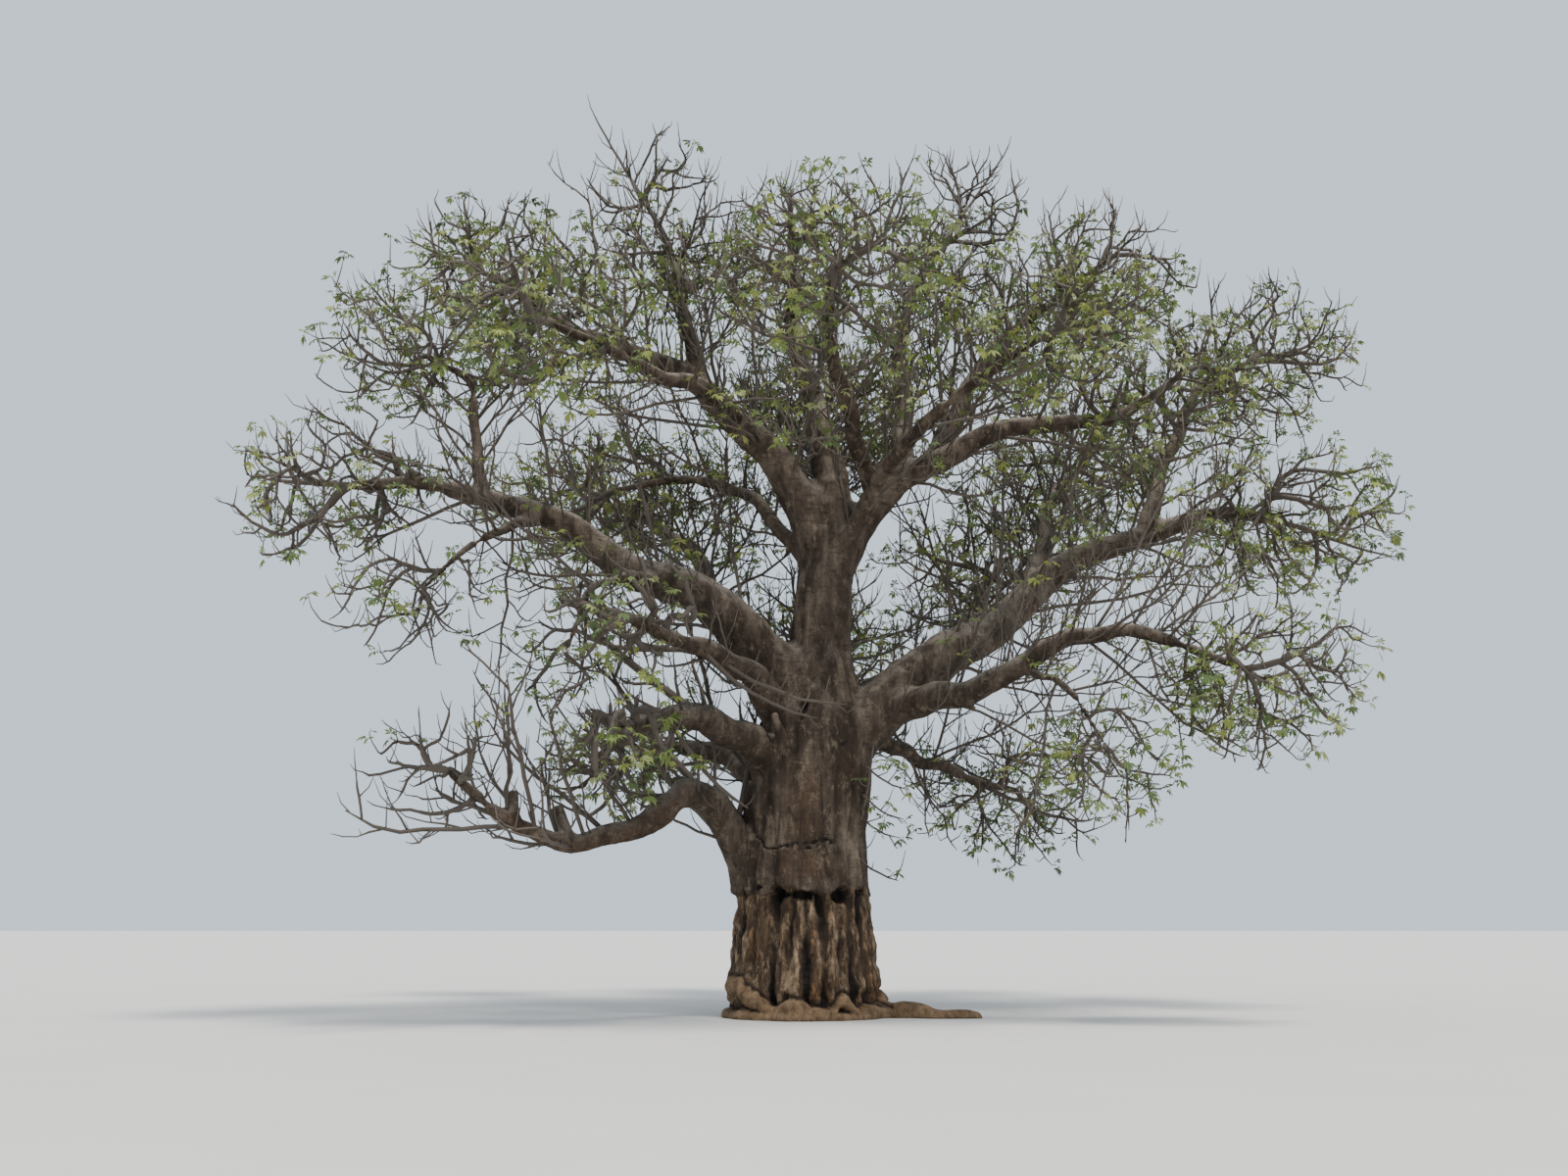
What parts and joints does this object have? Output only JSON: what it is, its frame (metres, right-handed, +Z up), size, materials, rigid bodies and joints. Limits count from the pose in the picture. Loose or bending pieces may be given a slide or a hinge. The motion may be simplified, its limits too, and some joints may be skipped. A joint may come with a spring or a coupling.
{
  "type": "tree",
  "caption": "Broad-crowned baobab tree in young leaf: stout trunk on a swollen root foot, crooked tapering boughs, and open masses of leafy twigs.",
  "frame": {"origin": "middle of the flat cut under the trunk, at ground level", "axes": "+Z up; the picture looks along +Y, with +X to its right"},
  "size_m": [20.7414, 15.098, 16.663],
  "materials": {
    "bark": "weathered grey-brown bark",
    "foliage": "young leaves, satin"
  },
  "bodies": {
    "root": {"trunk": "bark", "root_right": "bark", "bough_left": "bark", "bough_left_upright": "bark", "bough_left_drooping": "bark", "bough_left_hanging": "bark", "bough_left_slender": "bark", "bough_left_second": "bark", "bough_left_third": "bark", "bough_left_fourth": "bark", "bough_left_low": "bark", "bough_left_low_outer": "bark", "bough_right": "bark", "bough_right_steep": "bark", "bough_right_second": "bark", "bough_right_second_outer": "bark", "bough_right_hanging": "bark", "bough_right_low": "bark", "bough_upper_left": "bark", "bough_upper_left_upright": "bark", "bough_centre": "bark", "bough_upper_right": "bark", "bough_upper_right_inner": "bark", "bough_upper_right_outer": "bark", "bough_front": "bark", "bough_front_left": "bark", "bough_front_right": "bark", "bough_back_inner": "bark", "bough_back_left": "bark", "bough_back_right": "bark", "bough_back": "bark", "bough_back_low": "bark", "foliage_far_left": "foliage", "foliage_left_high": "foliage", "foliage_left_drooping": "foliage", "foliage_left_hanging": "foliage", "foliage_left_inner": "foliage", "foliage_left_front": "foliage", "foliage_left_middle": "foliage", "foliage_left_back": "foliage", "foliage_left_low": "foliage", "foliage_far_right": "foliage", "foliage_right_high": "foliage", "foliage_right_drooping": "foliage", "foliage_right_hanging": "foliage", "foliage_right_low": "foliage", "foliage_upper_left": "foliage", "foliage_top_left": "foliage", "foliage_top_centre": "foliage", "foliage_right_middle": "foliage", "foliage_top": "foliage", "foliage_upper_right": "foliage", "foliage_front": "foliage", "foliage_front_left": "foliage", "foliage_front_right": "foliage", "foliage_back_inner": "foliage", "foliage_back_left": "foliage", "foliage_back_right": "foliage", "foliage_back": "foliage", "foliage_back_low": "foliage"}
  },
  "joints": []
}
